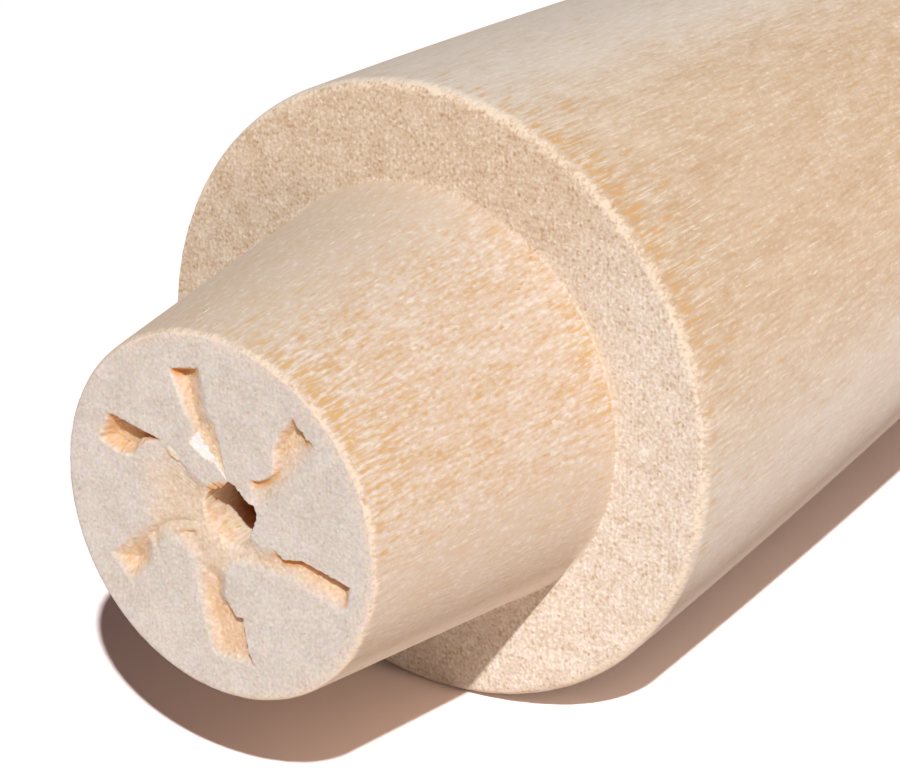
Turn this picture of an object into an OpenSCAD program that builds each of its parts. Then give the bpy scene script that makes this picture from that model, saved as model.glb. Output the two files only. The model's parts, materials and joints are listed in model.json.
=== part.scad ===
// Shaker peg: one piece of turned hardwood.
// It lies with its axis along Y. The origin is the middle of the shoulder face,
// the tenon points to -Y and the head to +Y. Sizes are in millimetres.

/* [Tenon] */
// Length of the tapered tenon, from its end to the shoulder face
tenon_len = 9.9; // [8:0.1:14]
// Diameter at the tenon's free end
tenon_end_d = 10.8; // [10:0.1:12.4]
// Diameter at the tenon's root, where it meets the shoulder
tenon_root_d = 12.9; // [12.5:0.1:15]
// Radius of the broken edge round the tenon's end
tenon_edge_r = 0.3; // [0.1:0.05:0.6]

/* [Shoulder and body] */
// Diameter of the shoulder that seats against the rail
shoulder_d = 19; // [17:0.1:21]
// Radius of the broken edge round the shoulder
shoulder_edge_r = 0.3; // [0.1:0.05:0.8]
// Angle at which the body starts to narrow behind the shoulder, in degrees
body_taper = 3.2; // [2.5:0.1:4]
// Radius of the long, slightly swelling curve of the body
swell_r = 530; // [400:10:800]

/* [Neck] */
// Smallest diameter, just before the head
neck_d = 10.4; // [8.5:0.1:11]
// Distance from the shoulder face to the smallest diameter
neck_at = 59.5; // [54:0.5:61]
// Radius of the hollow that runs from the neck out under the head
cove_r = 8; // [7:0.25:10]

/* [Head] */
// Diameter of the head
head_d = 22.2; // [20:0.1:24]
// Radius of the head's rounded rim
head_edge_r = 3; // [2:0.1:3.4]
// Distance from the shoulder face to the crown of the head
reach = 76; // [74:0.5:80]

/* [Drive marks] */
// Diameter of the hole left by the lathe's centre point
centre_hole_d = 1.8; // [1:0.1:2.5]
// Depth of the straight part of that hole
centre_hole_depth = 1.6; // [0.4:0.1:2.5]
// Depth of the cone at the bottom of that hole
centre_tip_depth = 0.8; // [0.4:0.1:1.5]
// Diameter of the blunt tip of that cone
centre_tip_d = 0.3; // [0.1:0.05:0.6]
// Width of each mark at its outer end
mark_w = 1.1; // [0.6:0.1:1.4]
// Depth of each mark at its outer end
mark_depth = 0.5; // [0.2:0.05:0.8]
// Radius at which the marks start, where they run out to nothing
mark_inner_r = 1.4; // [1.2:0.1:2]
// Radius at which the marks end
mark_outer_r = 4.4; // [3.6:0.1:4.5]
// Sideways distance from the peg's axis to the middle of the hole
hole_off_x = 0.5; // [0:0.05:0.6]
// Sideways distance from the peg's axis to the middle of the marks
drive_off_x = 0.15; // [0:0.05:0.3]
// Upward distance from the peg's axis to the hole and the marks
drive_off_z = 0.25; // [0:0.05:0.3]

/* [Hidden] */

// Directions of the six drive marks, in degrees from +X towards +Z.
// The spurs bit unevenly, so the spacing is not exactly 60 degrees.
mark_angles = [46, 104, 158, 218, 275, 341];

// Half sizes
tenon_end_r = tenon_end_d / 2;
tenon_root_r = tenon_root_d / 2;
shoulder_r = shoulder_d / 2;
neck_r = neck_d / 2;
head_r = head_d / 2;

// Centre of the swelling curve: it leaves the shoulder at the taper angle
swell_c = [shoulder_r - swell_r * cos(body_taper), -swell_r * sin(body_taper)];

// Long hollow curve from the body into the neck, touching the swelling curve
neck_rise = [neck_r - swell_c.x, neck_at - swell_c.y];
hollow_r = (neck_rise * neck_rise - swell_r * swell_r) / (2 * (swell_r - neck_rise.x));
hollow_c = [neck_r + hollow_r, neck_at];
turn_point = swell_c + (hollow_c - swell_c) * swell_r / (swell_r + hollow_r);

// Rim of the head, touching the cove
cove_c = [neck_r + cove_r, neck_at];
rim_x = head_r - head_edge_r;
rim_c = [rim_x, neck_at + sqrt(pow(cove_r + head_edge_r, 2) - pow(cove_c.x - rim_x, 2))];
rim_start = rim_c + (cove_c - rim_c) * head_edge_r / (cove_r + head_edge_r);

// Dome of the head, touching the rim and ending at the crown
dome_h = reach - rim_c.y;
dome_r = (rim_x * rim_x + dome_h * dome_h - head_edge_r * head_edge_r) / (2 * (dome_h - head_edge_r));
dome_c = [0, reach - dome_r];
rim_end = rim_c + (rim_c - dome_c) * head_edge_r / (dome_r - head_edge_r);

// Slope of the marks' floors, which rise out of the face towards the centre
mark_slope = atan(mark_depth / (mark_outer_r - mark_inner_r));
// How far the cutting shapes stand clear of the tenon's end
clear = 1;

arc_fn = 96;
long_arc_fn = 1440;

// Radius of the tenon at a distance along the axis
function tenon_r(y) = tenon_root_r + (tenon_end_r - tenon_root_r) * -y / tenon_len;

// Radius of the body's swelling curve at a distance along the axis
function swell_x(y) = swell_c.x + sqrt(swell_r * swell_r - pow(y - swell_c.y, 2));

// The slice of a half section between two distances along the axis
module slice(from, to) {
    intersection() {
        translate([0, from])
            square([head_d, to - from]);
        children();
    }
}

// A slice whose outer side is the arc of a small edge circle
module edge_slice(from, to, c, r) {
    slice(from, to)
        union() {
            translate([0, c.y - r])
                square([c.x, 2 * r]);
            translate(c)
                circle(r = r, $fn = arc_fn);
        }
}

// Half section of the tenon: a straight taper with a broken edge at its end
module tenon_section() {
    end_c = [tenon_r(tenon_edge_r - tenon_len) - tenon_edge_r, tenon_edge_r - tenon_len];
    edge_slice(-tenon_len, end_c.y, end_c, tenon_edge_r);
    polygon([[0, end_c.y], [end_c.x + tenon_edge_r, end_c.y], [tenon_root_r, 0], [0, 0]]);
}

// Half section of the body, from the shoulder's edge to the neck
module body_section() {
    edge_c = [swell_x(shoulder_edge_r) - shoulder_edge_r, shoulder_edge_r];
    edge_slice(0, shoulder_edge_r, edge_c, shoulder_edge_r);
    slice(shoulder_edge_r, turn_point.y)
        translate(swell_c)
            circle(r = swell_r, $fn = long_arc_fn);
    slice(turn_point.y, neck_at)
        difference() {
            translate([0, turn_point.y])
                square([shoulder_r, neck_at - turn_point.y]);
            translate(hollow_c)
                circle(r = hollow_r, $fn = long_arc_fn);
        }
}

// Half section of the head: hollow underside, round rim and domed crown
module head_section() {
    slice(neck_at, rim_start.y)
        difference() {
            translate([0, neck_at])
                square([rim_start.x, rim_start.y - neck_at]);
            translate(cove_c)
                circle(r = cove_r, $fn = 2 * arc_fn);
        }
    edge_slice(rim_start.y, rim_end.y, rim_c, head_edge_r);
    slice(rim_end.y, reach)
        translate(dome_c)
            circle(r = dome_r, $fn = 2 * arc_fn);
}

// One mark of a drive spur: a steep wall on one side and a ramp on the other
module drive_mark(angle) {
    rotate([0, -angle, 0])
        translate([mark_outer_r, 0, 0])
            rotate([0, 0, mark_slope])
                rotate([0, -90, 0])
                    linear_extrude(height = mark_outer_r)
                        polygon([
                            [mark_w / 2, -clear],
                            [mark_w / 2, mark_depth],
                            [-mark_w / 2, 0],
                            [-mark_w / 2 - clear * mark_w / mark_depth, -clear]
                        ]);
}

// Hole of the lathe's centre point, with a cone at its bottom
module centre_hole() {
    rotate([-90, 0, 0]) {
        translate([0, 0, -clear])
            cylinder(d = centre_hole_d, h = centre_hole_depth + clear, $fn = arc_fn);
        translate([0, 0, centre_hole_depth])
            cylinder(d1 = centre_hole_d, d2 = centre_tip_d, h = centre_tip_depth, $fn = arc_fn);
    }
}

// The turned peg, with the marks of the lathe's drive in the tenon's end
module peg() {
    color([0.88, 0.77, 0.64])
        difference() {
            rotate([-90, 0, 0])
                rotate_extrude($fn = arc_fn) {
                    tenon_section();
                    body_section();
                    head_section();
                }
            translate([hole_off_x, -tenon_len, drive_off_z])
                centre_hole();
            translate([drive_off_x, -tenon_len, drive_off_z])
                for (angle = mark_angles)
                    drive_mark(angle);
        }
}

peg();
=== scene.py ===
import json
import math

import bpy
import numpy as np
from mathutils import Matrix, Vector


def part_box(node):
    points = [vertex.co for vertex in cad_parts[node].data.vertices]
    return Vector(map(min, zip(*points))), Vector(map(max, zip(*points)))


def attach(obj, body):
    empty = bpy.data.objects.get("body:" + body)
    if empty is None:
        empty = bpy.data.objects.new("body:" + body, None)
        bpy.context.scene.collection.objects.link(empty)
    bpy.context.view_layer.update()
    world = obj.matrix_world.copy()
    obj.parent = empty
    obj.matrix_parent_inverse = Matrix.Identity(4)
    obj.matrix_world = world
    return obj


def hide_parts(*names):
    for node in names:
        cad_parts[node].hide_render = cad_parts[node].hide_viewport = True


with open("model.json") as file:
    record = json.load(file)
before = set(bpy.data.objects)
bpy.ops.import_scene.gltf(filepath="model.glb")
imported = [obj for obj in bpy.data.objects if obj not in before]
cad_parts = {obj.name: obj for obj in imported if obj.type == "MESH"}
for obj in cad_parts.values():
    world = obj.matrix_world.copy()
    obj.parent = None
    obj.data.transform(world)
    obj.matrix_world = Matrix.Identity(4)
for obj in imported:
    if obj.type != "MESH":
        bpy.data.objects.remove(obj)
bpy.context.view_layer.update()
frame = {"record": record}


# ---------------------------------------------------------------------------
# The turned peg
# One piece of pale, close-grained hardwood, turned between centres and left
# unfinished. The tenon is a straight taper, cut square at both ends, and the
# lathe's driving spurs and centre point have torn into its end.
# ---------------------------------------------------------------------------

# Lengths on the peg are in millimetres. +Y runs along the axis towards the head,
# from the shoulder's flat face at 0, and +Z is up.
MM = 0.001
low, high = (np.array(corner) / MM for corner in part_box("peg"))
mounts = {mount["name"]: mount for mount in frame["record"]["mounts"]}

tenon_len = -low[1]
tenon_root_r = mounts["tenon"]["dims"]["r_mm"]
tenon_end_r = 5.4
tenon_edge_r = 0.16
root_fillet_r = 0.15
shoulder_r = 9.5
shoulder_edge_r = 0.3
body_taper = math.radians(3.2)
swell_r = 530.0
neck_r = mounts["neck"]["dims"]["r_mm"]
neck_at = mounts["neck"]["pos_m"][1] / MM
cove_r = 8.0
head_r = high[0]
head_edge_r = 3.0
reach = high[1]

# The swelling curve of the body, the hollow into the neck, the cove, the rim
# and the dome: each arc touches the next, as the turner's gouge leaves them.
swell_c = np.array([shoulder_r - swell_r * math.cos(body_taper), -swell_r * math.sin(body_taper)])
neck_rise = np.array([neck_r, neck_at]) - swell_c
hollow_r = (neck_rise @ neck_rise - swell_r**2) / (2 * (swell_r - neck_rise[0]))
hollow_c = np.array([neck_r + hollow_r, neck_at])
turn_point = swell_c + (hollow_c - swell_c) * swell_r / (swell_r + hollow_r)
cove_c = np.array([neck_r + cove_r, neck_at])
rim_x = head_r - head_edge_r
rim_c = np.array([rim_x, neck_at + math.sqrt((cove_r + head_edge_r) ** 2 - (cove_c[0] - rim_x) ** 2)])
rim_start = rim_c + (cove_c - rim_c) * head_edge_r / (cove_r + head_edge_r)
dome_h = reach - rim_c[1]
dome_r = (rim_x**2 + dome_h**2 - head_edge_r**2) / (2 * (dome_h - head_edge_r))
dome_c = np.array([0.0, reach - dome_r])
rim_end = rim_c + (rim_c - dome_c) * head_edge_r / (dome_r - head_edge_r)


def body_radius(y):
    """Radius of the peg behind the shoulder's edge, at a distance along the axis."""
    if y < turn_point[1]:
        return swell_c[0] + math.sqrt(swell_r**2 - (y - swell_c[1]) ** 2)
    if y < neck_at:
        return hollow_c[0] - math.sqrt(hollow_r**2 - (y - neck_at) ** 2)
    if y < rim_start[1]:
        return cove_c[0] - math.sqrt(cove_r**2 - (y - neck_at) ** 2)
    if y < rim_end[1]:
        return rim_c[0] + math.sqrt(head_edge_r**2 - (y - rim_c[1]) ** 2)
    return math.sqrt(max(dome_r**2 - (y - dome_c[1]) ** 2, 0.0))


def tenon_radius(y):
    """Radius of the tenon at a distance along the axis, which is negative there."""
    return tenon_root_r + (tenon_end_r - tenon_root_r) * -y / tenon_len


# The marks in the tenon's end, in X and Z from its axis. Each is an outline, whose
# corners say how steeply the wood falls away from the side that follows, then the
# deepest level and how brown it is. The spurs tore the six that are named as hours
# on a clock. The shelf and the valley, beside the hole, are only worn down.
spur_marks = {
    "ten": (((-4.04, 1.38, 4), (-3.3, 1.08, 3), (-2.8, 1.16, 1.8), (-2.55, 1.5, 2.5), (-2.3, 1.7, 2.5),
             (-1.75, 1.87, 1.5), (-2.7, 2.06, 1.6), (-3.6, 2.25, 2)), 0.48, 0.3),
    "twelve": (((-1.42, 4.1, 1.5), (-1.15, 3.5, 1), (-0.95, 3.0, 1), (-0.62, 2.4, 2), (-0.7, 2.1, 4),
                (-0.3, 1.85, 3), (0.1, 1.8, 2), (0.46, 1.32, 0.3), (0.27, 2.2, 0.3), (0.05, 2.9, 0.35),
                (-0.1, 3.1, 0.4), (-0.2, 3.6, 0.5), (-0.35, 4.35, 2.2)), 0.48, 0.2),
    "one": (((2.78, 3.66, 1.7), (2.3, 3.05, 1.5), (2.08, 2.6, 1.7), (2.1, 2.25, 3), (2.05, 1.82, 2.5),
             (1.75, 1.6, 1.8), (1.5, 1.5, 1.5), (1.2, 1.47, 0.8), (1.45, 0.6, 0.2), (1.9, 0.75, 0.2),
             (2.4, 1.3, 0.25), (3.0, 2.0, 0.35), (3.5, 2.95, 3), (3.38, 3.12, 3), (3.2, 3.14, 3),
             (3.1, 3.34, 3), (2.95, 3.38, 3)), 0.36, 0.08),
    "four": (((4.56, -0.85, 5), (3.5, -0.62, 7), (3.0, -0.5, 6), (2.3, -0.62, 5), (2.0, -0.4, 0.5),
              (1.2, -0.9, 0.3), (1.3, -1.15, 0.35), (2.6, -1.2, 0.5), (4.15, -1.66, 1.2),
              (4.42, -1.5, 1.0)), 0.36, 0.2),
    "six": (((1.2, -4.22, 3), (1.0, -3.8, 3), (0.88, -3.1, 5), (0.84, -2.84, 6), (0.6, -2.82, 5),
             (0.25, -2.35, 0.6), (0.32, -1.7, 0.4), (0.2, -1.2, 0.3), (-0.85, -1.2, 0.4),
             (-0.75, -2.0, 0.7), (-0.55, -3.0, 0.7), (-0.35, -3.8, 0.7), (-0.2, -4.2, 0.9)), 0.22, 0.15),
    "eight": (((-3.05, -2.8, 0.8), (-2.35, -2.1, 0.6), (-2.2, -1.3, 0.4), (-2.05, -0.75, 0.4),
               (-2.5, -0.85, 0.5), (-3.0, -1.3, 0.7), (-3.8, -2.05, 0.9)), 0.4, 0.16),
    "shelf": (((-1.75, -0.88, 1.1), (-1.15, -0.62, 1.2), (-0.7, -0.5, 0.6), (-0.3, -0.9, 0.3),
               (-0.5, -1.3, 0.4), (-0.95, -1.25, 0.5), (-1.3, -1.0, 0.6)), 0.22, 0.05),
    "valley": (((-2.9, -1.35, 0.8), (-2.55, -0.99, 0.8), (-2.0, -0.49, 0.7), (-1.32, -0.15, 0.5),
                (-0.53, -0.03, 0.5), (-0.4, -0.5, 0.45), (-0.75, -0.62, 0.45), (-1.48, -0.88, 0.45),
                (-1.82, -1.15, 0.5), (-2.1, -1.57, 0.5)), 0.26, 0.06),
}
# Where the centre point has only crushed the wood, round the hole: its outline, how
# deep it is, and how fresh it looks
crushed = (
    (-1.75, 1.88, 0.3), (-1.35, 1.62, 0.5), (-0.9, 1.25, 0.3), (-0.45, 1.0, 9), (1.0, 0.2, 9),
    (1.15, -0.1, 0.3), (1.5, -0.45, 0.25), (2.0, -0.4, 0.5), (2.6, -1.2, 0.3), (1.6, -1.14, 0.4),
    (1.1, -1.1, 0.4), (0.6, -1.28, 0.4), (0.35, -1.6, 0.5), (-0.1, -1.7, 0.5), (-0.75, -1.5, 0.35),
    (-0.95, -1.3, 0.3), (-1.3, -1.1, 0.3), (-1.75, -0.9, 0.3), (-2.2, -1.2, 0.2), (-2.7, 0.2, 0.07),
    (-2.9, 1.1, 0.07),
)
crushed_floor = 0.1
crushed_fresh = 0.6
# Two splinters that a spur has lifted. A plane is the splinter's depth at the axis,
# and how much deeper it is for each millimetre along X and along Z
upper_splinter = (
    (-0.42, 2.63), (-0.82, 2.04), (-0.3, 1.7), (0.05, 1.66), (0.47, 1.22), (0.27, 2.2), (0.05, 2.9),
)
upper_plane = (-0.23, 0.0965, 0.152)
left_splinter = ((-1.68, 1.76), (-1.5, 1.58), (-1.2, 1.4), (-1.14, 1.48), (-1.4, 1.72))
left_plane = (-0.03, 0.0, 0.0)
# The centre hole: its middle, its radius, how deep its wall and its blunt tip go,
# and its ragged mouth as angles in degrees and radii
hole_c = np.array([0.5, 0.25])
hole_r = 0.9
hole_depth = 1.6
hole_tip = 2.4
hole_tip_r = 0.15
hole_mouth = np.array([
    (-176, 0.9), (-150, 0.92), (-120, 0.98), (-95, 1.0), (-65, 0.94), (-33, 0.84), (-7, 0.86), (12, 0.97),
    (30, 0.97), (42, 0.81), (62, 0.85), (90, 1.0), (106, 0.93), (127, 1.0), (141, 0.96), (160, 0.9),
])

# The side that the light comes from, across the end. The foot of a steep wall on
# that side is painted brown, as the shade that the wall casts
light_from = np.array([0.533, 0.846])
# How much a steep wall falls for each millimetre across, and how deep a mark is
# where the painted shade at the foot of its wall is at its darkest
steep = 1
dark_mark = 0.38
# The depth at which torn wood looks quite fresh, the painted shade at the foot of a
# wall quite brown, and the rest of a mark as brown as it gets
fresh_depth = 0.22
foot_depth = 0.12
brown_depth = 0.15
# How far the outlines wander and torn wood is roughened, and the size of the bumps
fray = 0.018
fray_size = 0.22
torn_rough = 0.014
torn_size = 0.16
# How brown the smudge at the rim is, and how pale the roughened band inside it
smudge = 0.35
smudge_turn = 115
band = 0.42


def how_far(value, start, full):
    """How far a value has come from one level to another: 0 up to the first, and 1 past the second."""
    return ((value - start) / (full - start)).clip(0, 1)


def hump(value, middle, width):
    """A smooth hump: 1 at its middle, and about a third at its width on either side."""
    return np.exp(-(((value - middle) / width) ** 2))


def turn_of(points):
    """The way from the axis to each point, in degrees from +X towards +Z."""
    return np.degrees(np.arctan2(points[:, 1], points[:, 0]))


def right_side(turn):
    """1 all down the right of the tenon, falling to 0 on its left."""
    return how_far(np.cos(np.radians(turn - 15)), -0.5, 0)


def rough(points, size, seed):
    """Smooth random heights from -1 to 1, with bumps about size millimetres across."""
    draws = np.random.default_rng(seed)
    waves = 9
    total = np.zeros(len(points))
    for way in draws.uniform(0, math.pi, waves):
        wave = 2 * math.pi / size * draws.uniform(0.6, 1.5)
        shift = draws.uniform(0, 2 * math.pi)
        total += np.sin(wave * (points[:, 0] * math.cos(way) + points[:, 1] * math.sin(way)) + shift)
    return total * 2 / waves


def shade(outline):
    """How far each side of an outline stands between its floor and the light, from 0 to 1."""
    corners = np.array(outline)
    starts = corners[:, :2]
    ends = np.roll(starts, -1, axis=0)
    sides = ends - starts
    area = (starts[:, 0] * ends[:, 1] - ends[:, 0] * starts[:, 1]).sum()
    inwards = np.stack([-sides[:, 1], sides[:, 0]], axis=1) * np.sign(area)
    facing = inwards @ light_from / np.hypot(sides[:, 0], sides[:, 1])
    return how_far(facing, 0.1, -0.6) * (corners[:, 2] >= steep)


def nearness(points, outline):
    """For each point, the gap to each side of an outline, and whether the point is inside it."""
    starts = np.array(outline)[:, :2]
    ends = np.roll(starts, -1, axis=0)
    sides = ends - starts
    z = points[:, 1:2]
    off_x = points[:, 0:1] - starts[:, 0]
    off_z = z - starts[:, 1]
    along = (off_x * sides[:, 0] + off_z * sides[:, 1]) / (sides**2).sum(axis=1)
    along = along.clip(0, 1)
    gap = np.hypot(off_x - along * sides[:, 0], off_z - along * sides[:, 1])
    # A point is inside if a line from it towards +X crosses the outline an odd number
    # of times. A level side never counts, and only has to be kept from dividing by 0
    spans = (starts[:, 1] > z) != (ends[:, 1] > z)
    rise = np.where(sides[:, 1] == 0, 1e-9, sides[:, 1])
    crosses = spans & (off_x < off_z * sides[:, 0] / rise)
    return gap, crosses.sum(axis=1) % 2 == 1


def hollow(points, outline, floor):
    """The depth of a mark at each point, as it falls away from its sides to its floor, and the gaps."""
    gap, inside = nearness(points, outline)
    fall = (gap * np.array(outline)[:, 2]).min(axis=1)
    return np.where(inside, np.minimum(fall, floor), 0), gap


face_r = tenon_radius(-tenon_len + tenon_edge_r) - tenon_edge_r


def face_relief(points):
    """Depth below the tenon's flat end at each point, and how torn, warm and pale the wood is there, with
    its painted shade and highlight.
    """
    frayed = np.stack([rough(points, fray_size, seed=3), rough(points, fray_size, seed=4)], axis=1)
    ragged = points + fray * frayed
    depth, gap = hollow(ragged, crushed, crushed_floor)
    torn = crushed_fresh * how_far(depth, 0, 0.7 * crushed_floor)
    # A brown smudge at the rim, on the upper left
    turn = turn_of(points)
    off_rim = face_r - np.hypot(*points.T)
    warm = smudge * hump(turn, smudge_turn, 4.5) * hump(off_rim, 0, 0.13)
    # The chisel has roughened a band inside the rim, all down the right
    pale = band * right_side(turn) * hump(off_rim, 0, 0.3)
    for outline, floor, brown in spur_marks.values():
        level, gap = hollow(ragged, outline, floor)
        depth = np.maximum(depth, level)
        torn = np.maximum(torn, how_far(level, 0, fresh_depth))
        # Behind each steep wall that stands against the light, the foot is painted brown as its shade
        painted_foot_shade = (how_far(gap, 0.9 * floor, 0.3 * floor) * shade(outline)).max(axis=1)
        warm = np.maximum(warm, painted_foot_shade * min(floor / dark_mark, 1) * how_far(level, 0, foot_depth))
        warm = np.maximum(warm, brown * how_far(level, 0, brown_depth))
    # The upper splinter is painted bright white as a highlight along its lower left,
    # where it has been bent out of the wood
    from_bend = points @ (0.73, 0.68) - 0.04 * rough(points, 0.25, seed=7)
    for outline, plane, paleness in (
        (upper_splinter, upper_plane, 1.8 * how_far(from_bend, 1.28, 1.22)),
        (left_splinter, left_plane, 0.9),
    ):
        inside = nearness(points, outline)[1]
        flat = plane[0] + points @ plane[1:] + 0.012 * rough(points, 0.3, seed=5)
        depth = np.where(inside, np.minimum(flat, depth + 0.02), depth)
        torn = np.where(inside, 1, torn)
        warm = np.where(inside, 0, warm)
        pale = np.where(inside, paleness, pale)
    depth = depth + torn_rough * torn * rough(points, torn_size, seed=6)
    return depth, torn, warm, pale


# The surface is one run of rings, from the bottom of the centre hole, over the
# end, and out along the tenon and the body to the crown of the head. Each point
# has its wear: torn open from 0 to 1, warm where it is browned and where shade is
# painted brown, and pale, which is 1 on broken fibres, more on the white of a splinter
# and its painted highlight, and below 0 down in the hole, where it paints shade. The
# hole's lit wall has a little pale as painted light.
# Each fade is how far from its start a wear or a shape falls to about a third.
face_columns = 608
side_columns = face_columns // 2
body_columns = face_columns // 4
rings = []


def add_ring(points_xz, y, torn=0.0, warm=0.0, pale=0.0, finish="turned_side"):
    """Add one ring: its points across the axis, how far along it lies, and its wear and finish."""
    count = len(points_xz)
    spread = [np.broadcast_to(np.asarray(v, dtype=float), count) for v in (y, torn, warm, pale)]
    points = np.column_stack([points_xz[:, 0], spread[0], points_xz[:, 1]])
    rings.append((points, np.column_stack(spread[1:]), finish))


def round_ring(count, r=1.0):
    """Points of a circle about the axis, from +X towards +Z."""
    angle = np.arange(count) * 2 * math.pi / count
    return np.stack([np.cos(angle), np.sin(angle)], axis=1) * r


around = round_ring(face_columns)
column_turn = turn_of(around)
# The same, counted from 0 to 360 for what lies across the left side
left_turn = column_turn % 360
# The tenon's end has dried a little out of round: it is flatter on its left
out_of_round = 0.21 * hump(left_turn, 188, 50)
face_rim = around * (face_r - out_of_round)[:, None]

mouth = np.interp(column_turn, hole_mouth[:, 0], hole_mouth[:, 1], period=360)
mouth_fray = 0.02 * rough(around * hole_r, 0.18, seed=8)
mouth += mouth_fray * (1 + (around @ (0.7, 0.7)).clip(0, 1))
# On its upper left a sliver of the rim has broken, and leans into the hole
sliver_reach = 0.24 * hump(column_turn, 122, 24)
sliver_slope = 0.62
mouth -= sliver_reach
mouth_points = hole_c + around * mouth[:, None]
mouth_depth = face_relief(mouth_points)[0] + sliver_slope * sliver_reach
# The point has rolled the hole's rim over on its lower left, and raised a lip on
# its left and another at its upper right
rolled = 0.1 * np.exp(-(((left_turn - 235) / 60) ** 4))
lip = 0.07 * hump(left_turn, 185, 22) + 0.05 * hump(column_turn, 38, 7)
lip_fade = 0.1
mouth_fade = 0.3
depth_fade = 0.5
dark_from = 0.6

# The blunt tip at the bottom of the hole is painted deep brown, as shade
for r in (hole_tip_r, 0.3, 0.5, 0.7, 0.85):
    to_tip = (hole_r - r) / (hole_r - hole_tip_r)
    y = -tenon_len + hole_depth + (hole_tip - hole_depth) * to_tip
    add_ring(hole_c + round_ring(body_columns, r), y, torn=1, warm=1, pale=-1, finish="tenon_end_grain")
# Below the mouth's own shape, half the columns are enough for the wall
for down in (hole_depth, 1.35, 1.1, 0.85, 0.6, 0.4, 0.25, 0.14, 0.06):
    step = 2 if down > mouth_fade else 1
    wall_r = hole_r + (mouth - hole_r) * math.exp(-down / mouth_fade)
    points = (hole_c + around * wall_r[:, None])[::step]
    depth = (down + (mouth_depth + rolled) * math.exp(-down / depth_fade))[::step]
    # The wall's half that faces away from the light is painted brown as shade, and its other half a little
    # paler as painted light
    shaded = how_far((points - hole_c) @ light_from / hole_r, -1 / 3, 0)
    lit_pale = 0.3 * (1 - shaded)
    # Further down, the wall is painted darker and darker, as shade
    add_ring(points, -tenon_len + depth, torn=1, warm=shaded * min(1, down / brown_depth),
             pale=lit_pale - 0.8 * max(0, down - dark_from), finish="tenon_end_grain")

# The rings of the end lie a little closer together towards its rim
end_rings = 82
for t in np.linspace(0, 1, end_rings) ** 0.93:
    points = mouth_points * (1 - t) + face_rim * t
    depth, torn, warm, pale = face_relief(points)
    off_mouth = np.hypot(*(points - mouth_points).T)
    ridge = hump(off_mouth, 0.06, 0.07)
    slope = (sliver_reach - off_mouth).clip(0, 1)
    depth += rolled * np.exp(-off_mouth / lip_fade) - lip * ridge
    depth += sliver_slope * slope
    torn = np.maximum(torn, how_far(slope, 0, 0.05))
    warm = np.maximum(warm, 0.5 * how_far(slope, 0, 0.1))
    pale = np.maximum(pale, how_far(lip * ridge, 0, 0.06))
    add_ring(points, -tenon_len + depth, torn, warm, pale, finish="tenon_end_grain")


flat_fade = 4.0


def tenon_ring(count, y):
    """Points of the tenon at a distance along the axis, with its flatter side."""
    flat = out_of_round[::face_columns // count] * math.exp(-(tenon_len + y) / flat_fade)
    return round_ring(count) * (tenon_radius(y) - flat)[:, None]


def ragged_edge(seed):
    """How far each fibre along a broken edge has parted, and how pale it is: each from 0 to 1."""
    draws = np.random.default_rng(seed)
    drawn = draws.uniform(0, 1, face_columns) ** 3
    parted = 0.35 * drawn + 0.3 * np.roll(drawn, 1) + 0.2 * np.roll(drawn, 2) + 0.15 * np.roll(drawn, 4)
    run = 8
    paleness = np.repeat(draws.uniform(0, 1, face_columns // run), run)
    paleness = (paleness + np.roll(paleness, 3) + np.roll(paleness, -3)) / 3
    return parted, paleness


burnish_fade = 1.3


def burnished(count, back):
    """How brown the chisel has rubbed the wood, some way behind an edge: most on the upper right."""
    return hump(column_turn, 45, 45)[::face_columns // count] * math.exp(-back / burnish_fade)


# How deep the fibres are parted along each edge, and how far round it, of a quarter
# turn, its end grain shows
quarter = math.pi / 2
edge_steps = 6
tenon_nick = 0.035
tenon_grain_to = 0.6
root_grain_from = 1.0
shoulder_nick = 0.05
shoulder_grain_to = 0.9

# The tenon's end edge, which is broken and pale all down its right. Only the ring
# next to an edge has as many columns as the edge
next_to_edge = 0.12
nicks, paleness = ragged_edge(seed=21)
for angle in np.linspace(0, quarter, edge_steps + 1)[1:]:
    proud = math.sin(2 * angle)
    r = face_r + (tenon_edge_r * math.sin(angle) - tenon_nick * nicks * proud - out_of_round)
    ridge = (0.3 + 0.4 * proud) * (0.5 + 0.7 * paleness) * right_side(column_turn)
    add_ring(around * r[:, None], -tenon_len + tenon_edge_r * (1 - math.cos(angle)), pale=ridge,
             finish="tenon_end_grain" if angle < tenon_grain_to else "tenon_side")
for back in (next_to_edge, 0.35, 0.7):
    count = face_columns if back == next_to_edge else side_columns
    y = -tenon_len + tenon_edge_r + back
    add_ring(tenon_ring(count, y), y, warm=burnished(count, back), finish="tenon_side")

# The tenon's side, and the browner wood on the right of its root
root_brown = 0.5 * hump(column_turn[::2], 22, 26)
root_fade = 1.5
even_from = 1.1
tenon_rings = 22
for y in np.linspace(-tenon_len + tenon_edge_r + even_from, -root_fillet_r, tenon_rings):
    brown = burnished(side_columns, y + tenon_len - tenon_edge_r) + root_brown * math.exp(y / root_fade)
    add_ring(tenon_ring(side_columns, y), y, warm=brown, finish="tenon_side")
# The chisel's rounded corner leaves a small hollow between the tenon and the shoulder
root_steps = 4
for angle in np.linspace(0, quarter, root_steps + 1)[1:]:
    r = tenon_root_r + root_fillet_r * (1 - math.cos(angle))
    add_ring(round_ring(side_columns, r), -root_fillet_r * (1 - math.sin(angle)), warm=root_brown,
             finish="tenon_side" if angle < root_grain_from else "shoulder_end_grain")

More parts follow.
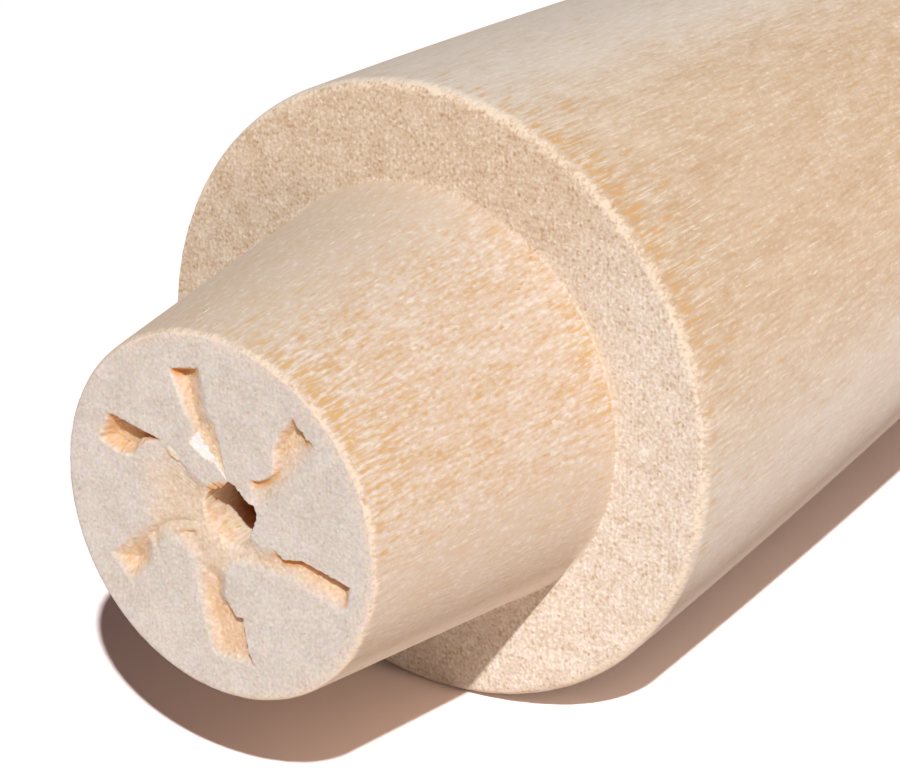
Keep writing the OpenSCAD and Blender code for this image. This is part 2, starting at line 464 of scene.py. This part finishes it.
# The shoulder's flat face, and its broken edge, which starts a hair further out, with
# its own columns
shoulder_fade = 0.5
shoulder_flat = body_radius(shoulder_edge_r) - shoulder_edge_r
shoulder_margin = 0.22
shoulder_steps = 15
hair = 0.001
shoulder_from = tenon_root_r + root_fillet_r
flat_rings = np.linspace(shoulder_from, shoulder_flat - shoulder_margin, shoulder_steps + 1)[1:]
for r in np.append(flat_rings, shoulder_flat):
    brown = root_brown * math.exp((tenon_root_r - r) / shoulder_fade)
    add_ring(round_ring(side_columns, r), 0.0, warm=brown, finish="shoulder_end_grain")
nicks, paleness = ragged_edge(seed=22)
add_ring(around * (shoulder_flat + hair), 0.0, pale=0.2 * paleness, finish="shoulder_end_grain")
for angle in np.linspace(0, quarter, edge_steps + 1)[1:]:
    proud = math.sin(2 * angle)
    r = shoulder_flat + shoulder_edge_r * math.sin(angle) - shoulder_nick * nicks * proud
    ridge = (0.15 + 0.55 * proud) * (0.3 + 0.9 * paleness)
    add_ring(around * r[:, None], shoulder_edge_r * (1 - math.cos(angle)), pale=ridge,
             finish="shoulder_end_grain" if angle < shoulder_grain_to else "turned_side")
for back in (next_to_edge, 0.35, 0.6, 0.9, 1.3, 1.8, 2.4, 3.1):
    count = face_columns if back == next_to_edge else side_columns
    y = shoulder_edge_r + back
    add_ring(round_ring(count, body_radius(y)), y, warm=burnished(count, back))

# The body, with closer rings on its front, the neck, the cove and the rim, and the dome
front_start = 4.2
front_end = 12.0
for y in np.concatenate([
    np.linspace(front_start, front_end, 12),
    np.linspace(front_end, neck_at, 30)[1:],
    np.linspace(neck_at, rim_end[1], 24)[1:],
]):
    add_ring(round_ring(body_columns, body_radius(y)), y)
dome_angle = math.asin(body_radius(rim_end[1]) / dome_r)
dome_steps = 11
for angle in np.linspace(dome_angle, 0, dome_steps + 1)[1:-1]:
    add_ring(round_ring(body_columns, dome_r * math.sin(angle)), dome_c[1] + dome_r * math.cos(angle))


def strip(inner, outer):
    """The faces between two rings. Where one has more points, each face takes in several of them."""
    spans = min(len(inner), len(outer))
    inner_step = len(inner) // spans
    outer_step = len(outer) // spans
    inner = inner + inner[:1]
    outer = outer + outer[:1]
    between = []
    for k in range(spans):
        near = inner[k * inner_step:(k + 1) * inner_step + 1]
        far = outer[k * outer_step:(k + 1) * outer_step + 1]
        between.append(near[:1] + far + near[:0:-1])
    return between


def fan(middle, ring):
    """The faces between one point and a ring."""
    return [(middle, ring[k], ring[(k + 1) % len(ring)]) for k in range(len(ring))]


finishes = ["turned_side", "shoulder_end_grain", "tenon_end_grain", "tenon_side"]
hole_bottom = [[hole_c[0], -tenon_len + hole_tip, hole_c[1]]]
bottom_wear = [[1.0, 1.0, 0.0]]
crown = [[0.0, reach, 0.0]]
crown_wear = [[0.0, 0.0, 0.0]]
verts = np.concatenate([hole_bottom] + [points for points, values, finish in rings] + [crown])
wear = np.concatenate([bottom_wear] + [values for points, values, finish in rings] + [crown_wear])
faces = []
face_finish = []
inner = None
first = 1
for points, values, finish in rings:
    outer = list(range(first, first + len(points)))
    between = strip(inner, outer) if inner else fan(0, outer)
    faces += between
    face_finish += [finishes.index(finish)] * len(between)
    first += len(points)
    inner = outer
cap = fan(first, inner[::-1])
faces += cap
face_finish += [finishes.index("turned_side")] * len(cap)

crease = math.radians(42)
peg_mesh = bpy.data.meshes.new("turned_peg")
peg_mesh.from_pydata((verts * MM).tolist(), [], faces)
peg_mesh.polygons.foreach_set("material_index", face_finish)
peg_mesh.shade_smooth()
peg_mesh.set_sharp_from_angle(angle=crease)
for column, name in enumerate(("torn", "warm", "pale")):
    layer = peg_mesh.attributes.new(name, "FLOAT", "POINT")
    layer.data.foreach_set("value", wear[:, column].astype(np.float32))
turned_peg = bpy.data.objects.new("turned_peg", peg_mesh)
bpy.context.scene.collection.objects.link(turned_peg)


# The wood's grain is a solid pattern that runs along the peg: pores and rays show
# as specks on the cut ends, and as streaks on the turned sides.

def add_node(tree, kind, feeds, **choices):
    """Add a node: feeds gives its inputs a value or another node's output, choices sets its options."""
    node = tree.nodes.new(kind)
    for name, value in choices.items():
        setattr(node, name, value)
    for name, value in feeds.items():
        if isinstance(value, bpy.types.NodeSocket):
            tree.links.new(value, node.inputs[name])
        else:
            node.inputs[name].default_value = value
    return node


def maths(tree, operation, *values):
    """The result of one sum on values or outputs."""
    return add_node(tree, "ShaderNodeMath", dict(enumerate(values)), operation=operation).outputs[0]


def vector_maths(tree, operation, *vectors):
    """The result of one sum on vectors: a value for a length or a dot product, and else a vector."""
    node = add_node(tree, "ShaderNodeVectorMath", dict(enumerate(vectors)), operation=operation)
    return node.outputs["Value" if operation in ("LENGTH", "DOT_PRODUCT") else "Vector"]


def ramp(tree, value, low_value, high_value, low_result=0.0, high_result=1.0):
    """A smooth step of a value from one result to another."""
    feeds = {"Value": value, "From Min": low_value, "From Max": high_value,
             "To Min": low_result, "To Max": high_result}
    return add_node(tree, "ShaderNodeMapRange", feeds, interpolation_type="SMOOTHSTEP").outputs[0]


def blend(tree, factor, first, second, how="MIX"):
    """A colour between two others, or the first times the second."""
    feeds = {0: factor, 6: first, 7: second}
    return add_node(tree, "ShaderNodeMix", feeds, data_type="RGBA", blend_type=how).outputs[2]


def stretched(tree, place_mm, across, along):
    """The place on the wood, in units of one size across the grain and another along it."""
    return vector_maths(tree, "MULTIPLY", place_mm, (1 / across, 1 / along, 1 / across))


def noise(tree, place_mm, across, along, detail=2.0, roughness=0.5):
    """Noise with spots of a given size across the grain, drawn out to a length along it."""
    feeds = {"Vector": stretched(tree, place_mm, across, along), "Scale": 1.0, "Detail": detail,
             "Roughness": roughness}
    return add_node(tree, "ShaderNodeTexNoise", feeds)


def centred(tree, value):
    """A value from 0 to 1, moved to lie about 0."""
    return maths(tree, "SUBTRACT", value, 0.5)


grain = bpy.data.node_groups.new("wood_grain", "ShaderNodeTree")
for name, kind, value in (
    ("Pale", "NodeSocketColor", (0.8, 0.7, 0.6, 1)),
    ("Tan", "NodeSocketColor", (0.7, 0.5, 0.3, 1)),
    ("Flat side", "NodeSocketColor", (1, 1, 1, 1)),
    ("Under side", "NodeSocketColor", (1, 1, 1, 1)),
    ("Heart side", "NodeSocketColor", (1, 1, 1, 1)),
    ("Heart start", "NodeSocketFloat", 2.0),
    ("Pit", "NodeSocketColor", (0.6, 0.3, 0.1, 1)),
    ("Stipple", "NodeSocketFloat", 2.0),
    ("Cells", "NodeSocketFloat", 1.0),
    ("Streaks", "NodeSocketFloat", 1.0),
    ("Rings", "NodeSocketFloat", 0.0),
    ("Pits", "NodeSocketFloat", 0.15),
    ("Calm", "NodeSocketFloat", 0.0),
):
    grain.interface.new_socket(name, in_out="INPUT", socket_type=kind).default_value = value
grain.interface.new_socket("Color", in_out="OUTPUT", socket_type="NodeSocketColor")
grain.interface.new_socket("Patch", in_out="OUTPUT", socket_type="NodeSocketFloat")
grain.interface.new_socket("Height", in_out="OUTPUT", socket_type="NodeSocketFloat")
given = grain.nodes.new("NodeGroupInput").outputs
object_place = grain.nodes.new("ShaderNodeTexCoord").outputs["Object"]
place_mm = vector_maths(grain, "MULTIPLY", object_place, (1 / MM, 1 / MM, 1 / MM))
# Each noise has the size of its spots across the grain, and their length along it
fine = noise(grain, place_mm, 0.11, 0.22, detail=3.0, roughness=0.6)
stipple = centred(grain, fine.outputs["Fac"])
hues = add_node(grain, "ShaderNodeSeparateColor", {0: fine.outputs["Color"]}).outputs[1]
streaks = centred(grain, noise(grain, place_mm, 0.1, 1.0, detail=3.0, roughness=0.55).outputs["Fac"])
clouds = centred(grain, noise(grain, place_mm, 0.7, 2.2).outputs["Fac"])
patches = centred(grain, noise(grain, place_mm, 0.16, 0.8, roughness=0.6).outputs["Fac"])

# How strongly each part of the figure tints the wood, and how far it stands out
cloud_share = 0.7
cell_tint = 0.6
pit_tint = 0.7
patch_streaks = 1.3
streak_height = 0.6
cell_height = 0.4
pit_height = 0.25

# The growth rings are nearly flat, and lie against two sides of the peg, which show
# tan. The lower side is painted paler, as the light that the table throws up, and the
# wood is tinted towards the upper left. The first two fade out over the dome, and at
# the axis, where nothing is a side
flat_way = (0.79, 0, 0.61)
underside_light_way = (0.34, 0, -0.94)
upper_left_way = (-0.5, 0, 0.87)
dome_from = 64.0
dome_to = 73.0
across_mm = vector_maths(grain, "MULTIPLY", place_mm, (1, 0, 1))
off_axis = vector_maths(grain, "LENGTH", across_mm)
outwards = vector_maths(grain, "NORMALIZE", across_mm)
along_mm = add_node(grain, "ShaderNodeSeparateXYZ", {0: place_mm}).outputs["Y"]
on_sides = ramp(grain, along_mm, dome_from, dome_to, 1.0, 0.0)
on_sides = maths(grain, "MULTIPLY", on_sides, ramp(grain, off_axis, 1.0, 5.0))
flat_side = maths(grain, "ABSOLUTE", vector_maths(grain, "DOT_PRODUCT", outwards, flat_way))
flat_side = maths(grain, "MULTIPLY", ramp(grain, flat_side, 0.68, 1.0), on_sides)
painted_underside_light = vector_maths(grain, "DOT_PRODUCT", outwards, underside_light_way)
painted_underside_light = maths(grain, "MULTIPLY", ramp(grain, painted_underside_light, 0.72, 0.97), on_sides)
# A tint towards the upper left, from where each finish says it starts
upper_left_tint = vector_maths(grain, "DOT_PRODUCT", across_mm, upper_left_way)
upper_left_tint = ramp(grain, maths(grain, "SUBTRACT", upper_left_tint, given["Heart start"]), 0.0, 5.0)

# The rings themselves, round a pith that lies outside the peg
pith_mm = (31, 0, 21.5)
ring_mm = 2.3
ring_wander = 1.4
from_pith = vector_maths(grain, "LENGTH", vector_maths(grain, "ADD", across_mm, pith_mm))
from_pith = maths(grain, "ADD", from_pith, maths(grain, "MULTIPLY", clouds, ring_wander))
year = maths(grain, "FRACT", maths(grain, "DIVIDE", from_pith, ring_mm))
latewood = maths(grain, "MULTIPLY", ramp(grain, year, 0.35, 0.93), ramp(grain, year, 0.93, 1.0, 1.0, 0.0))

# The cut ends of the cells: each shows as a spot of its own shade, and the widest as a pit
cell_place = stretched(grain, place_mm, 0.13, 0.26)
cells = add_node(grain, "ShaderNodeTexVoronoi", {"Vector": cell_place, "Scale": 1.0})
shades = add_node(grain, "ShaderNodeSeparateColor", {0: cells.outputs["Color"]}).outputs
spot = ramp(grain, cells.outputs["Distance"], 0.15, 0.7, 1.0, 0.0)
cell_shade = maths(grain, "MULTIPLY", centred(grain, shades[0]), spot)
cell_hue = maths(grain, "MULTIPLY", centred(grain, shades[1]), spot)
hues = maths(grain, "MULTIPLY_ADD", cell_hue, maths(grain, "MULTIPLY", given["Cells"], cell_tint), hues)
pitted = maths(grain, "MULTIPLY", given["Pits"], ramp(grain, flat_side, 0.0, 0.6, 0.3, 1.0))
wide = ramp(grain, maths(grain, "ADD", shades[2], pitted), 1.0, 1.06)
pits = maths(grain, "MULTIPLY", wide, ramp(grain, cells.outputs["Distance"], 0.1, 0.42, 1.0, 0.0))

level = maths(grain, "MULTIPLY", stipple, given["Stipple"])
for part, weight in (
    (cell_shade, given["Cells"]),
    (streaks, given["Streaks"]),
    (latewood, given["Rings"]),
    (clouds, cloud_share),
):
    level = maths(grain, "ADD", level, maths(grain, "MULTIPLY", part, weight))
# The figure is calmer where the rings are seen on edge
on_edge = ramp(grain, flat_side, 0, 0.7, 1, 0)
strength = maths(grain, "SUBTRACT", 1.0, maths(grain, "MULTIPLY", given["Calm"], on_edge))
level = maths(grain, "MULTIPLY_ADD", level, strength, 0.5)
colour = blend(grain, level, given["Pale"], given["Tan"])
greenish = (0.985, 1.0, 0.93, 1)
pinkish = (1.0, 0.96, 0.985, 1)
hue = blend(grain, ramp(grain, hues, 0.33, 0.67), greenish, pinkish)
colour = blend(grain, 1.0, colour, hue, "MULTIPLY")
colour = blend(grain, flat_side, colour, given["Flat side"], "MULTIPLY")
# Tinted towards the upper left
colour = blend(grain, upper_left_tint, colour, given["Heart side"], "MULTIPLY")
# The lower side is painted paler, as the light that the table throws up
colour = blend(grain, painted_underside_light, colour, given["Under side"], "MULTIPLY")
colour = blend(grain, maths(grain, "MULTIPLY", pits, pit_tint), colour, given["Pit"])
height = maths(grain, "ADD", stipple, maths(grain, "MULTIPLY", streaks, streak_height))
cell_bumps = maths(grain, "MULTIPLY", cell_shade, given["Cells"])
height = maths(grain, "MULTIPLY_ADD", cell_bumps, cell_height, height)
height = maths(grain, "SUBTRACT", height, maths(grain, "MULTIPLY", pits, pit_height))
result = grain.nodes.new("NodeGroupOutput").inputs
grain.links.new(colour, result["Color"])
grain.links.new(maths(grain, "MULTIPLY_ADD", streaks, patch_streaks, patches), result["Patch"])
grain.links.new(height, result["Height"])


def set_values(node, values):
    """Give a node's inputs their plain values."""
    for name, value in values.items():
        node.inputs[name].default_value = value


def wood_finish(name, relief_mm, figure_values):
    """A wood material with the grain in it: its tree, its shader and its grain node."""
    material = bpy.data.materials.new(name)
    material.use_nodes = True
    tree = material.node_tree
    shader = tree.nodes["Principled BSDF"]
    set_values(shader, {"Roughness": 0.65, "Diffuse Roughness": 0.5, "Specular IOR Level": 0.3,
                        "Sheen Weight": 0.08, "Sheen Roughness": 0.4})
    figure = add_node(tree, "ShaderNodeGroup", figure_values, node_tree=grain)
    bump = add_node(tree, "ShaderNodeBump", {"Strength": 1.0, "Distance": relief_mm * MM,
                                             "Height": figure.outputs["Height"]})
    tree.links.new(bump.outputs[0], shader.inputs["Normal"])
    return tree, shader, figure


def worn(tree, name):
    """One of the peg's wear values."""
    return add_node(tree, "ShaderNodeAttribute", {}, attribute_name=name).outputs["Fac"]


# How much the grain breaks up the pale fibres of an edge and the browned patches,
# and how far they hide the wood at most
edge_pale = (0.73, 0.625, 0.505, 1)
fibre_breakup = -2.2
patch_breakup = 2.4
rubbed_breakup = 1.5
most_hidden = 0.8
side_relief = 0.012


def broken_edge(tree, figure, colour):
    """The pale fibres that stand along the broken edges, over another colour."""
    edge = maths(tree, "MULTIPLY_ADD", figure.outputs["Height"], fibre_breakup, worn(tree, "pale"))
    return blend(tree, ramp(tree, edge, 0.1, 0.9, 0.0, most_hidden), colour, edge_pale)


def side_finish(name, figure_values, streaks, more_streaks, burnt):
    """The finish of a turned side. Behind its edge the streaks are bolder, and in patches it is burnt."""
    tree, shader, figure = wood_finish(name, side_relief, figure_values)
    warm = worn(tree, "warm")
    tree.links.new(maths(tree, "MULTIPLY_ADD", warm, more_streaks, streaks), figure.inputs["Streaks"])
    patch = maths(tree, "MULTIPLY_ADD", figure.outputs["Patch"], patch_breakup, warm)
    colour = blend(tree, ramp(tree, patch, 0.32, 1.35, 0.0, most_hidden), figure.outputs["Color"], burnt)
    tree.links.new(broken_edge(tree, figure, colour), shader.inputs["Base Color"])


# The body, the neck and the head, which are calm
side_finish("turned_side", {
    "Pale": (0.665, 0.64, 0.62, 1), "Tan": (0.49, 0.395, 0.3, 1), "Pit": (0.435, 0.245, 0.095, 1),
    "Flat side": (0.96, 0.83, 0.67, 1), "Heart side": (1.06, 1.04, 1.01, 1),
    # Its lower side is painted paler, as light from the table
    "Under side": (1.28, 1.36, 1.43, 1), "Heart start": 2.0,
    "Stipple": 0.8, "Cells": 0.1, "Rings": 0.1, "Pits": 0.04, "Calm": 0.5,
}, streaks=1.2, more_streaks=1.6, burnt=(0.59, 0.35, 0.145, 1))

# The shoulder's cut face: open, speckled end grain
tree, shader, figure = wood_finish("shoulder_end_grain", relief_mm=0.016, figure_values={
    "Pale": (0.81, 0.79, 0.765, 1), "Tan": (0.5, 0.38, 0.27, 1), "Pit": (0.485, 0.26, 0.12, 1),
    "Heart side": (0.91, 0.825, 0.72, 1), "Heart start": -0.5,
    "Stipple": 1.9, "Cells": 0.9, "Streaks": 0.3, "Pits": 0.22,
})
set_values(shader, {"Specular IOR Level": 0.1, "Sheen Weight": 0.0})
rubbed_brown = (0.695, 0.52, 0.35, 1)
patch = maths(tree, "MULTIPLY_ADD", figure.outputs["Patch"], rubbed_breakup, worn(tree, "warm"))
colour = blend(tree, patch, figure.outputs["Color"], rubbed_brown)
tree.links.new(broken_edge(tree, figure, colour), shader.inputs["Base Color"])

# The tenon's end: grey where it was sawn, and fresh where the spurs have torn it open,
# with painted shade in its marks and its hole, and a painted highlight on a splinter
tree, shader, figure = wood_finish("tenon_end_grain", relief_mm=0.014, figure_values={
    "Pale": (0.73, 0.71, 0.695, 1), "Tan": (0.515, 0.465, 0.415, 1), "Pit": (0.435, 0.33, 0.25, 1),
    "Stipple": 1.5, "Cells": 0.6, "Streaks": 0.5, "Pits": 0.06,
})
set_values(shader, {"Roughness": 0.9, "Specular IOR Level": 0.08, "Sheen Weight": 0.0,
                    "Subsurface Weight": 0.7, "Subsurface Radius": (1.0, 0.4, 0.15),
                    "Subsurface Scale": 0.45 * MM})
fresh = add_node(tree, "ShaderNodeGroup", {
    "Pale": (0.81, 0.685, 0.555, 1), "Tan": (0.625, 0.42, 0.25, 1), "Pit": (0.575, 0.32, 0.155, 1),
    "Stipple": 1.3, "Cells": 0.8, "Pits": 0.15,
}, node_tree=grain)
# The brown of rubbed and torn wood, which also paints the shade at the foot of walls and in the hole
brown_and_painted_shade = (0.635, 0.305, 0.085, 1)
# The painted highlight on the upper splinter
painted_splinter_highlight = (0.785, 0.77, 0.755, 1)
# Painted shade deep in the centre hole
painted_deep_shade = (0.435, 0.165, 0.045, 1)
colour = blend(tree, worn(tree, "torn"), figure.outputs["Color"], fresh.outputs["Color"])
colour = blend(tree, worn(tree, "warm"), colour, brown_and_painted_shade)
colour = broken_edge(tree, figure, colour)
colour = blend(tree, ramp(tree, worn(tree, "pale"), 1.0, 1.6), colour, painted_splinter_highlight)
colour = blend(tree, ramp(tree, worn(tree, "pale"), -0.1, -0.9), colour, painted_deep_shade)
tree.links.new(colour, shader.inputs["Base Color"])

# The tenon's side, where the figure is bolder
side_finish("tenon_side", {
    "Pale": (0.64, 0.6, 0.57, 1), "Tan": (0.53, 0.37, 0.215, 1), "Pit": (0.54, 0.285, 0.095, 1),
    "Flat side": (1.03, 0.98, 0.93, 1), "Heart side": (0.97, 0.93, 0.87, 1),
    # Its lower side is painted paler, as light from the table
    "Under side": (1.34, 1.46, 1.56, 1), "Heart start": 3.0,
    "Stipple": 1.4, "Cells": 0.6, "Pits": 0.15, "Calm": 0.6,
}, streaks=1.3, more_streaks=2.0, burnt=(0.59, 0.37, 0.145, 1))

for name in finishes:
    peg_mesh.materials.append(bpy.data.materials[name])
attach(turned_peg, "root")
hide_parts("peg")


# ---------------------------------------------------------------------------
# The raised fibres
# Fine slivers of the same wood, which the chisel has lifted from the turned sides.
# Each is still held at both ends, and shows paler than the wood under it.
# ---------------------------------------------------------------------------

sliver_steps = 8
sliver_root = 0.008
sliver_tip = 0.08
off_shoulder = 0.1
draws = np.random.default_rng(31)
verts = []
faces = []
# How many there are, where they lie round the peg and how widely in degrees, from
# where to where along it, the longest, and what they lie on
for count, middle_turn, spread, start, end, longest, radius in (
    (64, 42, 17, 0.35, 4.5, 1.4, body_radius),
    (26, 42, 30, 1.0, 16.0, 1.2, body_radius),
    (30, 35, 28, -9.4, -2.0, 0.45, tenon_radius),
):
    furthest = -off_shoulder if radius is tenon_radius else reach
    for sliver in range(count):
        sliver_turn = math.radians(draws.normal(middle_turn, spread))
        first_y = start + (end - start) * draws.uniform(0, 1) ** 1.5
        length = longest * draws.uniform(0.3, 1)
        half_width = draws.uniform(0.05, 0.1)
        lift = draws.uniform(0.004, 0.01)
        drift = draws.uniform(-0.05, 0.05)
        lumps = draws.uniform(0.45, 1, sliver_steps + 1)
        first = len(verts)
        for step in range(sliver_steps + 1):
            t = step / sliver_steps
            y = min(first_y + length * t, furthest)
            swell = lumps[step] * (sliver_tip + (1 - sliver_tip) * math.sin(math.pi * t) ** 0.6)
            middle = sliver_turn + drift * t / radius(y)
            for side, height in ((-1, -sliver_root), (0, lift * swell), (1, -sliver_root)):
                angle = middle + side * half_width * swell / radius(y)
                r = radius(y) + height
                verts.append((r * math.cos(angle) * MM, y * MM, r * math.sin(angle) * MM))
        for step in range(sliver_steps):
            for side in range(3):
                corner = first + step * 3 + side
                beside = first + step * 3 + (side + 1) % 3
                faces.append((corner, beside, beside + 3, corner + 3))
        faces.append((first + 2, first + 1, first))
        faces.append((len(verts) - 3, len(verts) - 2, len(verts) - 1))

fibre_mesh = bpy.data.meshes.new("raised_fibres")
fibre_mesh.from_pydata(verts, [], faces)
fibre_mesh.shade_smooth()
raised_fibres = bpy.data.objects.new("raised_fibres", fibre_mesh)
bpy.context.scene.collection.objects.link(raised_fibres)

tree, shader, figure = wood_finish("pale_fibre", relief_mm=0.003, figure_values={
    "Pale": (0.68, 0.61, 0.52, 1), "Tan": (0.6, 0.495, 0.375, 1), "Pits": 0.0,
})
tree.links.new(figure.outputs["Color"], shader.inputs["Base Color"])
fibre_mesh.materials.append(bpy.data.materials["pale_fibre"])
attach(raised_fibres, "root")
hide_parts("peg")


# ---------------------------------------------------------------------------
# The table
# A wide sheet of white paper. The peg lies on its shoulder and on the larger head,
# so the table is tilted a little against the peg's axis, and it touches both rims.
# ---------------------------------------------------------------------------

# Sizes from here on are in metres, where MM doesn't stand beside them
lie = math.atan((head_r - shoulder_r) / (rim_c[1] - shoulder_edge_r))
table = Matrix.Translation(Vector((0, shoulder_edge_r, -shoulder_r)) * MM) @ Matrix.Rotation(-lie, 4, "X")
table_half = 1.5
table_corners = ((-1, -1), (1, -1), (1, 1), (-1, 1))
corners = [table @ Vector((x * table_half, y * table_half, 0)) for x, y in table_corners]
table_mesh = bpy.data.meshes.new("table_top")
table_mesh.from_pydata(corners, [], [(0, 1, 2, 3)])
table_top = bpy.data.objects.new("table_top", table_mesh)
bpy.context.scene.collection.objects.link(table_top)

# The paper that the camera sees is bright enough to come out white, but for the
# peg's shadow. What the paper throws back on the peg is dimmer and warmer
paper_seen = (1.33, 1.21, 1.19, 1)
paper_cast = (0.80, 0.66, 0.58, 1)


def seen_and_cast(tree, kind, output, seen_colour, cast_colour):
    """Fill a node tree with one colour for the camera to see, and another that lights the peg."""
    tree.nodes.clear()
    seen = add_node(tree, kind, {"Color": seen_colour})
    cast = add_node(tree, kind, {"Color": cast_colour})
    path = add_node(tree, "ShaderNodeLightPath", {})
    feeds = {0: path.outputs["Is Camera Ray"], 1: cast.outputs[0], 2: seen.outputs[0]}
    mix = add_node(tree, "ShaderNodeMixShader", feeds)
    add_node(tree, output, {"Surface": mix.outputs[0]})


paper = bpy.data.materials.new("white_paper")
paper.use_nodes = True
seen_and_cast(paper.node_tree, "ShaderNodeBsdfDiffuse", "ShaderNodeOutputMaterial", paper_seen, paper_cast)
table_mesh.materials.append(paper)


# ---------------------------------------------------------------------------
# Light
# A hard sun, high behind the camera, a warm card that stands low on the right and
# lights the peg's lower side, and a dim, warm room round them.
# ---------------------------------------------------------------------------

def heading(turn, drop):
    """Direction on the table, in degrees: turned left from +Y, and dropping towards the table."""
    turn = math.radians(turn)
    drop = math.radians(drop)
    way = Vector((-math.sin(turn) * math.cos(drop), math.cos(turn) * math.cos(drop), -math.sin(drop)))
    return table.to_3x3() @ way


key_way = heading(37.5, 44)
key = bpy.data.lights.new("key", "SUN")
key.energy = 3.68
key.angle = math.radians(1.2)
key_lamp = bpy.data.objects.new("key", key)
key_lamp.rotation_euler = key_way.to_track_quat("-Z", "Y").to_euler()
bpy.context.scene.collection.objects.link(key_lamp)

card_way = heading(55, 5)
card_gap = 0.4
card = bpy.data.lights.new("card", "AREA")
card.shape = "RECTANGLE"
card.size = 0.3
card.size_y = 0.12
card.energy = 0.4
card.color = (1.0, 0.8, 0.65)
card_lamp = bpy.data.objects.new("card", card)
card_lamp.location = -card_way * card_gap
card_lamp.rotation_euler = card_way.to_track_quat("-Z", "Y").to_euler()
bpy.context.scene.collection.objects.link(card_lamp)

room_seen = (1, 1, 1, 1)
room_cast = (0.034, 0.020, 0.026, 1)
room = bpy.data.worlds.new("room")
bpy.context.scene.world = room
room.use_nodes = True
seen_and_cast(room.node_tree, "ShaderNodeBackground", "ShaderNodeOutputWorld", room_seen, room_cast)


# ---------------------------------------------------------------------------
# Camera
# A long lens close to the peg, which looks down along it from the tenon's end, at
# a point just off the middle of the shoulder's face.
# ---------------------------------------------------------------------------

look = heading(35.53, 22.71)
aim = table.to_3x3() @ Vector((0.44, 0.46, 0.29)) * MM
camera_gap = 116.3 * MM
lens = bpy.data.cameras.new("camera")
lens.lens = 160.8
lens.clip_start = 0.01
camera = bpy.data.objects.new("camera", lens)
camera.location = aim - look * camera_gap
right = look.cross(table.to_3x3() @ Vector((0, 0, 1))).normalized()
camera.rotation_euler = Matrix((right, right.cross(look), -look)).transposed().to_euler()
bpy.context.scene.collection.objects.link(camera)
bpy.context.scene.camera = camera

bpy.context.scene.view_settings.view_transform = "Standard"
